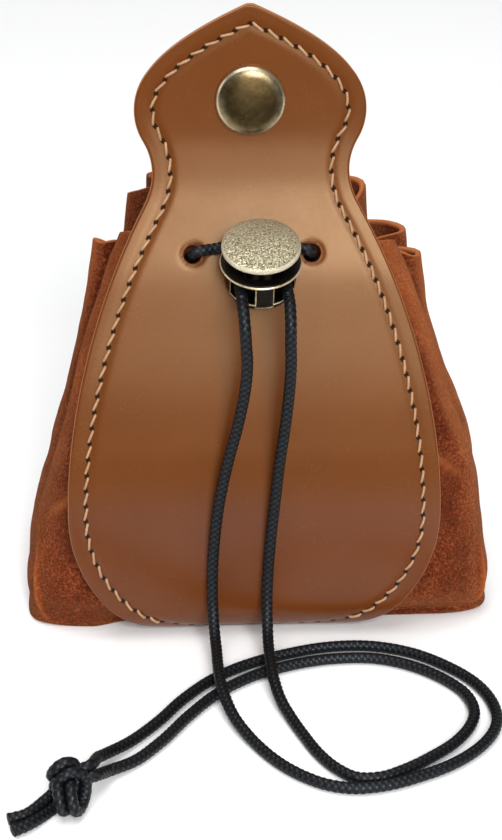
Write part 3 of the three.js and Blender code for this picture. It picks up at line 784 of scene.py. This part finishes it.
stitch_points, stitch_faces = [], []
thread_turn = np.linspace(0, 2 * math.pi, THREAD_SIDES, endpoint=False)
first_stitch = math.ceil(np.interp(SEAM_START, seam_line[:, 1], seam_place))
for stitch in range(first_stitch, stitch_count):
    for hand in (-1, 1):
        path, radii = [], []
        for share, depth in STITCH_RINGS:
            at = stitch + share
            slant = (0.5 - share) * STITCH_SLANT
            slant_x, slant_along = slant * edge_inward[np.searchsorted(seam_place, at)] * hand
            x = np.interp(at, seam_place, seam_line[:, 0]) + slant_x
            along = np.interp(at, seam_place, seam_line[:, 1]) + slant_along
            path.append(panel_point(hand * x, along, depth))
            ply = np.cos(2 * thread_turn + THREAD_TWIST * share)
            radii.append(THREAD_RADIUS * (1 + THREAD_PLY * ply))
        points, faces = tube(path, np.array(radii), len(stitch_points))
        stitch_points.extend(points)
        stitch_faces.extend(faces)

thread, tree, shader = new_material("waxed_thread", Roughness=0.5)
thread_tone = ramp(
    tree, mottled(tree, 400, 3000, 0.5), (0.0, (0.25, 0.13, 0.06)), (1.0, (0.46, 0.275, 0.15)),
)
feed(tree, shader, Base_Color=thread_tone)
bump(tree, shader, noise_at(tree, 5000, 2), 0.08)
stitches = add_mesh("panel_stitches", stitch_points, stitch_faces, thread)
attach(stitches, "bag")


# Snap: a domed cap pressed from thin brass over the panel's lobe, its post set through the leather
# into a flat ring behind. The brass is aged olive brown and rubbed bright round its rim.
SNAP_AT = 107.4
SNAP_SIDES = 96
SNAP_PROFILE = (
    (0, -3.95), (3.6, -3.95), (4.3, -3.8), (4.6, -3.4), (4.6, -2.5), (4.45, -2.35), (2, -2.35), (2, 0.1),
    (5.9, 0.1), (6.12, 0.2), (6.26, 0.42), (6.3, 0.72), (6.24, 1.0), (6.06, 1.28), (5.75, 1.52), (5.2, 1.75),
    (4.4, 1.96), (3.3, 2.13), (2.2, 2.24), (1.1, 2.3), (0, 2.32),
)
HANDLED_AND_HIGHLIGHT_BAND, RUBBED_BAND = (4.2, 5.7), (5.55, 6.1)


def lathe(profile, segments, first_index=0):
    """Points and faces of a round solid turned about Z from the axis out and back to it."""
    points, faces = [], []
    turns = np.linspace(0, 2 * math.pi, segments, endpoint=False)
    for radius, height in profile[1:-1]:
        points.extend((radius * math.cos(t), radius * math.sin(t), height) for t in turns)
    points.extend(((0, 0, profile[0][1]), (0, 0, profile[-1][1])))
    bottom, top = len(points) - 2, len(points) - 1
    rows = len(profile) - 2
    for c in range(segments):
        after = (c + 1) % segments
        faces.append((bottom, after, c))
        faces.extend(
            (r * segments + c, r * segments + after, (r + 1) * segments + after, (r + 1) * segments + c)
            for r in range(rows - 1)
        )
        faces.append(((rows - 1) * segments + c, (rows - 1) * segments + after, top))
    return np.array(points), [tuple(first_index + i for i in face) for face in faces]


def from_axis(points):
    """How far turned points lie from the axis that they were turned about."""
    return np.linalg.norm(points[:, :2], axis=1)


up_the_lobe = panel_point(0, SNAP_AT + 1, 0) - panel_point(0, SNAP_AT - 1, 0)
snap_out = Vector((0, -up_the_lobe[2], up_the_lobe[1])).normalized()
snap_turn = snap_out.to_track_quat("Z", "Y").to_matrix()
snap_seat = Vector(panel_point(0, SNAP_AT, 0))
snap_turned, snap_faces = lathe(SNAP_PROFILE, SNAP_SIDES)

snap_brass, tree, shader = new_material("aged_brass_snap", Metallic=1.0)
patina = ramp(
    tree, mottled(tree, 160, 1400, 0.35),
    (0.0, (0.032, 0.021, 0.0085)), (0.55, (0.055, 0.037, 0.0155)), (1.0, (0.098, 0.069, 0.031)),
)
snap_reach = read_attribute(tree, "from_axis")
# A lighter mottled band inside the rim: partly handling wear, partly painted highlight.
handled_and_highlight = calculate(
    tree, "MULTIPLY", remap(tree, snap_reach, *HANDLED_AND_HIGHLIGHT_BAND), mottled(tree, 190, 900, 0.3),
)
handled_and_highlight_tone = blend(tree, handled_and_highlight, patina, (0.36, 0.29, 0.17))
rubbed_tone = blend(tree, remap(tree, snap_reach, *RUBBED_BAND), handled_and_highlight_tone, (0.72, 0.63, 0.43))
feed(tree, shader, Base_Color=rubbed_tone, Roughness=uneven_polish(tree, 300, 2600, 0.26, 0.42))
bump(tree, shader, noise_at(tree, 420, 5), 0.05, 0.5)
snap = add_mesh(
    "snap_brass", [snap_seat + snap_turn @ Vector(p) for p in snap_turned], snap_faces, snap_brass,
)
add_attribute(snap, "from_axis", from_axis(snap_turned))
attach(snap, "bag")
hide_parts("snap_cap")


# Lock body: a blackened casting with a beaded rim, a bore for the button and two tunnels for the
# cord. Handling has rubbed the black off its outer edges, so that brass shows there.
LOCK_CENTRE = Vector((1.1, -27, 76))
LOCK_TURN = Matrix.Rotation(math.radians(20), 3, "X") @ Matrix.Rotation(math.radians(4.6), 3, "Z")
LOCK_SIDES = 64
LOCK_RIM_RADIUS = 7.25
BEAD_INNER_RADIUS = 7.05
LOCK_PROFILE = (
    (0, -7.2), (5.0, -7.2), (5.6, -6.5), (6.0, -5.7), (6.25, -4.8), (6.4, -3.6), (6.45, -0.7),
    (7.1, -0.52), (7.25, -0.43), (7.31, -0.3), (7.25, -0.17), (7.1, -0.08), (6.9, 0.1), (6.6, 0.12),
    (5.3, 0.12), (5.3, -6.2), (0, -6.2),
)
TUNNEL_INNER, TUNNEL_OUTER, TUNNEL_TOP, TUNNEL_BOTTOM = 1.7, 5.7, -1.35, -5.2
TUNNEL_CUT_HALF = 16
BOX_FACES = ((0, 1, 3, 2), (4, 6, 7, 5), (0, 4, 5, 1), (2, 3, 7, 6), (0, 2, 6, 4), (1, 5, 7, 3))
RUBBED_INNER, RUBBED_FOOT, RUBBED_ANGLE, RUBBED_WIDTH = 5.9, -7, math.radians(40), 0.2
FOOT_LEVEL, FOOT_HALF, FOOT_REACH = -6.1, 0.45, 1.75
BODY_SHARP_ANGLE = math.radians(35)


def lock_point(x, y, z):
    """A point given in the lock's own leaning axes."""
    return LOCK_CENTRE + LOCK_TURN @ Vector((x, y, z))


black_cast, tree, shader = new_material("blackened_cast", Metallic=0.85, Specular_IOR_Level=0.5)
black_tone = ramp(
    tree, mottled(tree, 240, 2000, 0.5), (0.0, (0.005, 0.0042, 0.0037)), (1.0, (0.022, 0.017, 0.013)),
)
feed(tree, shader, Base_Color=black_tone, Roughness=uneven_polish(tree, 300, 2400, 0.3, 0.5))

edge_brass, tree, shader = new_material("rubbed_brass_edge", Metallic=0.6)
edge_worn = ramp(
    tree, mottled(tree, 500, 2600, 0.5),
    (0.0, (0.16, 0.12, 0.065)), (0.4, (0.52, 0.42, 0.25)), (1.0, (0.8, 0.69, 0.46)),
)
feed(tree, shader, Base_Color=edge_worn, Roughness=uneven_polish(tree, 300, 2400, 0.24, 0.4))

body_points, body_faces = lathe(LOCK_PROFILE, LOCK_SIDES)
lock_body = add_mesh("lock_body_cast", [lock_point(*p) for p in body_points], body_faces, black_cast)
lock_body.data.materials.append(edge_brass)
on_bead = from_axis(body_points) > BEAD_INNER_RADIUS
at_foot = np.abs(body_points[:, 2] - FOOT_LEVEL) < FOOT_HALF
at_foot &= np.abs(body_points[:, 0]) < FOOT_REACH
for face, corners in zip(lock_body.data.polygons, map(list, body_faces)):
    face.material_index = int(on_bead[corners].all() or at_foot[corners].all())
bpy.context.view_layer.objects.active = lock_body
for hand in (-1, 1):
    cutter = add_mesh("tunnel_cutter", [
        lock_point(x, y, z)
        for x in sorted((hand * TUNNEL_INNER, hand * TUNNEL_OUTER))
        for y in (-TUNNEL_CUT_HALF, TUNNEL_CUT_HALF)
        for z in (TUNNEL_BOTTOM, TUNNEL_TOP)
    ], BOX_FACES)
    cut_through = lock_body.modifiers.new("tunnel", "BOOLEAN")
    cut_through.object = cutter
    cut_through.solver = "EXACT"
    bpy.ops.object.modifier_apply(modifier=cut_through.name)
    bpy.data.objects.remove(cutter)
shaped = bmesh.new()
shaped.from_mesh(lock_body.data)
rub_weight = shaped.edges.layers.float.new("bevel_weight_edge")
for edge in shaped.edges:
    ends = [LOCK_TURN.transposed() @ (end.co / MM - LOCK_CENTRE) for end in edge.verts]
    outside = all(
        RUBBED_INNER < end.xy.length < BEAD_INNER_RADIUS or end.z < RUBBED_FOOT for end in ends
    )
    if outside and edge.is_convex and edge.calc_face_angle(0) > RUBBED_ANGLE:
        edge[rub_weight] = 1
shaped.to_mesh(lock_body.data)
shaped.free()
rubbed_edges = lock_body.modifiers.new("rubbed_edges", "BEVEL")
rubbed_edges.width = RUBBED_WIDTH * MM
rubbed_edges.segments = 2
rubbed_edges.limit_method = "WEIGHT"
rubbed_edges.use_clamp_overlap = False
rubbed_edges.material = 1
bpy.ops.object.modifier_apply(modifier=rubbed_edges.name)
lock_body.data.set_sharp_from_angle(angle=BODY_SHARP_ANGLE)
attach(lock_body, "bag")
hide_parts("lock_body")


# Lock button: the sprung plunger that grips the cord. Its black stem stands in the body's bore, and
# its brass cap is pitted all over, dark in the pits and rubbed bright round the rim.
STEM_SIDES, CAP_SIDES = 48, 96
BUTTON_STEM = ((0, -3.5), (2.6, -3.5), (2.6, 1.1), (4.9, 1.1), (4.9, 2.75), (0, 2.75))
BUTTON_CAP = (
    (0, 2.72), (6.55, 2.72), (6.85, 2.82), (7.0, 3.05), (7.02, 3.3), (6.98, 3.6), (6.88, 3.85), (6.68, 4.02),
    (6.3, 4.12), (5, 4.34), (3.4, 4.52), (1.7, 4.63), (0, 4.67),
)
BUTTON_SHARP_ANGLE = math.radians(40)
PIT_EDGE, CAP_RIM = (0.34, 0.6), (6.65, 6.9)

pitted_brass, tree, shader = new_material("pitted_brass", Metallic=1.0)
unpitted = remap(tree, noise_at(tree, 3400, 3, 0.7), *PIT_EDGE)
cap_rim = remap(tree, read_attribute(tree, "from_axis"), *CAP_RIM)
pitted_tone = blend(tree, unpitted, (0.17, 0.145, 0.078), (0.76, 0.7, 0.5))
face_tone = blend(tree, cap_rim, pitted_tone, (0.86, 0.8, 0.62))
dulled_tone = blend(tree, mottled(tree, 200, 900, 0.4), face_tone, (0.6, 0.51, 0.33), "MULTIPLY")
cap_rough = remap(tree, unpitted, 0.0, 1.0, 0.6, 0.33, "LINEAR")
feed(tree, shader, Base_Color=blend(tree, 0.35, face_tone, dulled_tone), Roughness=cap_rough)
bump(tree, shader, unpitted, 0.12, 0.8)

stem_points, stem_faces = lathe(BUTTON_STEM, STEM_SIDES)
cap_points, cap_faces = lathe(BUTTON_CAP, CAP_SIDES, len(stem_points))
button_points = np.concatenate([stem_points, cap_points])
button = add_mesh(
    "lock_button_brass", [lock_point(*p) for p in button_points], stem_faces + cap_faces, black_cast,
)
button.data.materials.append(pitted_brass)
add_attribute(button, "from_axis", from_axis(button_points))
for face in button.data.polygons[len(stem_faces):]:
    face.material_index = 1
button.data.set_sharp_from_angle(angle=BUTTON_SHARP_ANGLE)
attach(button, "button")
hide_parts("lock_button")


# Cord: black waxed braid 2.1 mm thick, one length threaded through the gathered mouth, out through
# the panel's two holes and the lock's tunnels, with both ends hanging down the front.
CORD_RADIUS = 1.05
CORD_SIDES = 24
CORD_STEP = 0.2
CORD_SPREAD = 4.1
CORD_LEVEL = -2.6
CORD_STANDOFF = 2.2
CORD_INSET = 2.1
CORD_TUCKS = ({"column": -1, "reach": 0.7}, {"column": 8.5, "reach": 0.8})
CORD_TUCK_DEPTH = 3
MOUTH_HALF_FOLDS = range(22, -5, -1)
LOCK_FRONT_INSET = 0.25
BEND_SHARE, BEND_IN = 0.45, 0.9
OUT_OF_HOLE_X, OUT_OF_HOLE_UP = -0.6, 0.6
INTO_HOLE_X, INTO_HOLE_UP = 0.5, -0.8
BRAID_PITCH = 1.15
BRAID_STRANDS = 4
BRAID_SUNK, BRAID_RELIEF = 0.1, 0.14
STRAND_ALONG, STRAND_ACROSS = 0.45, 1.5
CURVE_POINTS = 24


def through(points, spacing):
    """An even line of points on the smooth curve that passes through some points."""
    points = np.asarray(points, float)
    ends = np.concatenate([[2 * points[0] - points[1]], points, [2 * points[-1] - points[-2]]])
    t = np.linspace(0, 1, CURVE_POINTS, endpoint=False)[:, None]
    pieces = []
    for p0, p1, p2, p3 in zip(ends, ends[1:], ends[2:], ends[3:]):
        k0, k1, k2 = (np.linalg.norm(b - a) ** 0.5 for a, b in ((p0, p1), (p1, p2), (p2, p3)))
        leave = ((p1 - p0) / k0 - (p2 - p0) / (k0 + k1) + (p2 - p1) / k1) * k1
        arrive = ((p2 - p1) / k1 - (p3 - p1) / (k1 + k2) + (p3 - p2) / k2) * k1
        pieces.append(
            (2 * t ** 3 - 3 * t * t + 1) * p1 + (t ** 3 - 2 * t * t + t) * leave
            + (3 * t * t - 2 * t ** 3) * p2 + (t ** 3 - t * t) * arrive
        )
    return evenly(np.concatenate([*pieces, points[-1:]]), spacing)


def braid_relief(length_steps):
    """How far the braid's strands stand up, from 0 to 1, as they pass over and under each other."""
    along = np.arange(length_steps)[:, None] * CORD_STEP / BRAID_PITCH
    around = np.linspace(0, BRAID_STRANDS, CORD_SIDES, endpoint=False)[None]
    left, right = around + along, around - along
    over = (np.floor(left) + np.floor(right)) % 2 < 1
    left_hump, right_hump = np.abs(np.sin(math.pi * left)), np.abs(np.sin(math.pi * right))
    return np.where(
        over,
        left_hump ** STRAND_ALONG * right_hump ** STRAND_ACROSS,
        left_hump ** STRAND_ACROSS * right_hump ** STRAND_ALONG,
    )


waxed_braid, tree, shader = new_material("black_waxed_braid", Specular_Tint=(0.84, 0.92, 1, 1))
hump = read_attribute(tree, "hump")
# Between the strands the braid is painted darker and less glossy than on their tops: painted shade.
strand_tone_painted_shade = ramp(
    tree, hump,
    (0.0, (0.0006, 0.0006, 0.0008)), (0.6, (0.002, 0.002, 0.0025)), (1.0, (0.009, 0.009, 0.011)),
)
feed(
    tree, shader, Base_Color=strand_tone_painted_shade,
    Roughness=remap(tree, hump, 0.0, 1.0, 0.62, 0.34, "LINEAR"),
    Specular_IOR_Level=remap(tree, hump, 0.0, 1.0, 0.16, 0.44, "LINEAR"),
)
bump(tree, shader, noise_at(tree, 6000, 2), 0.05, 0.6)


def braided_cord(name, routes):
    """A braided cord over one or more routes, as one piece that rides on the bag."""
    points, faces, humps = [], [], []
    for route in routes:
        relief = braid_relief(len(route))
        radii = CORD_RADIUS - BRAID_SUNK + BRAID_RELIEF * relief
        tube_points, tube_faces = tube(route, radii, len(points))
        points.extend(tube_points)
        faces.extend(tube_faces)
        humps.append(relief.ravel())
    made = add_mesh(name, points, faces, waxed_braid)
    add_attribute(made, "hump", np.concatenate(humps))
    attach(made, "bag")
    return made


def lock_to_panel(hand):
    """The way from the lock's front, through its tunnel, to just behind the panel."""
    tunnel, hole = hand * CORD_SPREAD, hand * CORD_HOLE_X
    entry = np.array(lock_point(tunnel, LOCK_RIM_RADIUS, CORD_LEVEL))
    outside = panel_point(hole + hand * OUT_OF_HOLE_X, CORD_HOLE_AT + OUT_OF_HOLE_UP, -CORD_STANDOFF)
    bend = entry + (outside - entry) * BEND_SHARE + BEND_IN * panel_inward(CORD_HOLE_AT)
    return [
        np.array(lock_point(tunnel, LOCK_FRONT_INSET - LOCK_RIM_RADIUS, CORD_LEVEL)),
        np.array(lock_point(tunnel, 0, CORD_LEVEL)),
        entry,
        bend,
        outside,
        panel_point(hole, CORD_HOLE_AT, LEATHER / 2),
        panel_point(hole + hand * INTO_HOLE_X, CORD_HOLE_AT + INTO_HOLE_UP, LEATHER + CORD_STANDOFF),
    ]


def mouth_point(column):
    """Half-way through the folds, a set way below the cut rim, and tucked in further at the panel."""
    fold = fold_at(column)
    level = fold["cord"]
    upper = next(i for i, section in enumerate(POUCH_SECTIONS) if section["z"] > level)
    below, above = POUCH_SECTIONS[upper - 1], POUCH_SECTIONS[upper]
    share = (level - below["z"]) / (above["z"] - below["z"])
    section = {key: below[key] + (above[key] - below[key]) * share for key in SECTION_KEYS}
    place, outward = outline_at(section, fold["bearing"] + fold["span"] * fold["part"])
    tucked = CORD_INSET
    for tuck in CORD_TUCKS:
        tucked += CORD_TUCK_DEPTH * math.exp(-((column - tuck["column"]) / tuck["reach"]) ** 2)
    return np.array((*(place - tucked * outward), level))


mouth_route = [mouth_point(half_fold / 2) for half_fold in MOUTH_HALF_FOLDS]
held_route = through([*lock_to_panel(-1), *mouth_route, *lock_to_panel(1)[::-1]], CORD_STEP)
held_cord = braided_cord("drawstring_braid", [held_route])
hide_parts("drawstring")


# Tails: the cord's two free ends. They bend down over the lock's rim, hang against the panel, run
# out over the floor, turn back in a wide loop and cross under themselves on the way to the knot.
TAIL_LEFT = (
    (-2.4, -33.2, 70.9), (-2.3, -35.3, 69.9), (-2.1, -37.0, 67.6), (-1.9, -37.2, 64.2),
    (-1.7, -36.6, 60.0), (-2.1, -35.6, 54.5), (-3.3, -34.4, 47.4), (-5.1, -33.3, 39.3),
    (-6.7, -32.6, 30.7), (-7.7, -32.3, 21.7), (-8.1, -32.4, 13.2), (-8.0, -33.6, 7.8),
    (-7.8, -36.4, 4.9), (-7.6, -40.3, 3.9), (-7.5, -45.0, 3.65), (-7.2, -50.6, 3.6),
    (-6.3, -55.9, 3.0), (-4.9, -60.4, 2.2), (-2.8, -64.7, 1.5), (-0.3, -69.0, 1.15),
    (2.6, -73.2, 1.1), (6.1, -76.8, 1.1), (10.1, -79.5, 1.1), (14.7, -80.7, 1.1),
    (20.3, -80.0, 1.1), (26.0, -77.8, 1.1), (31.9, -74.6, 1.1), (37.1, -70.1, 1.1),
    (40.5, -65.2, 1.1), (41.9, -60.6, 1.1), (41.6, -54.8, 1.1), (39.5, -49.0, 1.1),
    (35.1, -43.3, 1.1), (28.9, -38.3, 1.1), (21.4, -35.6, 1.1), (13.5, -35.6, 1.1),
    (5.3, -37.8, 1.1), (-2.4, -41.3, 1.1), (-8.6, -45.9, 1.1), (-14.1, -52.3, 1.1),
    (-18.6, -59.2, 1.1), (-23.4, -65.2, 1.15), (-27.0, -69.2, 1.8), (-29.0, -72.2, 2.8),
)
TAIL_RIGHT = (
    (5.8, -32.6, 71.1), (5.9, -34.8, 70.1), (5.9, -36.8, 67.8), (5.9, -37.1, 64.2),
    (6.0, -36.6, 60.0), (5.8, -35.7, 54.5), (5.2, -34.6, 47.3), (4.3, -33.5, 39.2),
    (3.5, -32.7, 30.5), (2.7, -32.3, 21.5), (2.2, -32.5, 13.0), (2.1, -33.7, 8.1),
    (2.1, -36.2, 5.0), (2.1, -39.4, 4.0), (2.2, -43.4, 3.7), (2.5, -49.0, 3.3),
    (3.5, -54.6, 2.2), (5.2, -59.4, 1.3), (7.1, -64.7, 1.1), (9.3, -70.3, 1.1),
    (12.1, -74.9, 1.1), (15.4, -77.7, 1.1), (19.6, -77.7, 1.1), (23.9, -75.6, 1.1),
    (28.8, -72.1, 1.1), (33.4, -67.9, 1.1), (36.7, -63.0, 1.1), (38.1, -58.2, 1.1),
    (37.3, -52.8, 1.1), (34.3, -48.0, 1.1), (29.1, -43.2, 1.1), (22.2, -40.0, 1.1),
    (14.3, -39.7, 1.1), (6.7, -41.4, 1.1), (-0.7, -44.8, 1.1), (-7.5, -50.3, 1.1),
    (-13.1, -57.6, 1.1), (-17.9, -65.2, 1.1), (-22.5, -70.9, 1.1), (-26.9, -74.6, 1.7),
)
left_line = through([held_route[0], *TAIL_LEFT], CORD_STEP)
right_line = through([held_route[-1], *TAIL_RIGHT], CORD_STEP)
left_tail = braided_cord("tail_left_braid", [left_line])
right_tail = braided_cord("tail_right_braid", [right_line])
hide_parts("tail_left")
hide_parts("tail_right")


# Knot: both tails tied together in one overhand knot and pulled tight, with their cut ends left
# standing out of it side by side.
KNOT_CENTRE = np.array((-33.9, -82.7, 3.9))
KNOT_SLOPE = math.radians(30)
KNOT_KEYS = ("right", "up", "out", "side")
KNOT_ROUTE = [dict(zip(KNOT_KEYS, row)) for row in (
    (1.9, 1.9, -0.9, -66), (0.9, 1.6, -1.0, -70), (-0.1, 1.2, -0.9, -75), (-0.85, 0.8, -0.45, -80),
    (-1.1, 0.6, 0.25, -78), (-0.75, 0.75, 0.95, -68), (-0.05, 1.15, 1.3, -60), (0.65, 1.35, 1.0, -58),
    (1.1, 1.15, 0.3, -52), (1.1, 0.5, -0.4, -40), (0.85, -0.4, -0.8, -22), (0.55, -1.25, -0.7, -10),
    (0.3, -1.8, -0.2, -4), (0.1, -1.9, 0.4, 0), (-0.05, -1.45, 0.9, 0), (-0.15, -0.7, 1.1, 0),
    (-0.2, 0.05, 0.8, -8), (-0.2, 0.55, 0.1, -25), (-0.35, 0.4, -0.6, -45), (-0.9, -0.25, -1.05, -58),
    (-1.6, -1.0, -0.95, -60),
)]
STRAND_GAP = 0.98
LEAD_IN_POINT = -8
CUT_ENDS = (
    ((-40.6, -85.9, 1.25), (-43.6, -87.1, 1.2)),
    ((-40.0, -88.4, 1.15), (-42.6, -90.3, 1.15)),
)
knot_axes = np.array((
    (1, 0, 0),
    (0, math.cos(KNOT_SLOPE), math.sin(KNOT_SLOPE)),
    (0, -math.sin(KNOT_SLOPE), math.cos(KNOT_SLOPE)),
))
band = [
    KNOT_CENTRE + 2 * CORD_RADIUS * np.array((place["right"], place["up"], place["out"])) @ knot_axes
    for place in KNOT_ROUTE
]
sides = [math.radians(place["side"]) for place in KNOT_ROUTE]
band_side = np.stack([np.cos(sides), np.sin(sides), np.zeros(len(sides))], 1) @ knot_axes
knot_routes = []
for hand, tail_line, cut_end in ((-1, left_line, CUT_ENDS[0]), (1, right_line, CUT_ENDS[1])):
    strand = band + hand * STRAND_GAP * CORD_RADIUS * band_side
    lead_in = (tail_line[LEAD_IN_POINT], tail_line[-1])
    knot_routes.append(through([*lead_in, *strand, *np.array(cut_end)], CORD_STEP))
knot = braided_cord("knot_braid", knot_routes)
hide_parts("cord_knot")
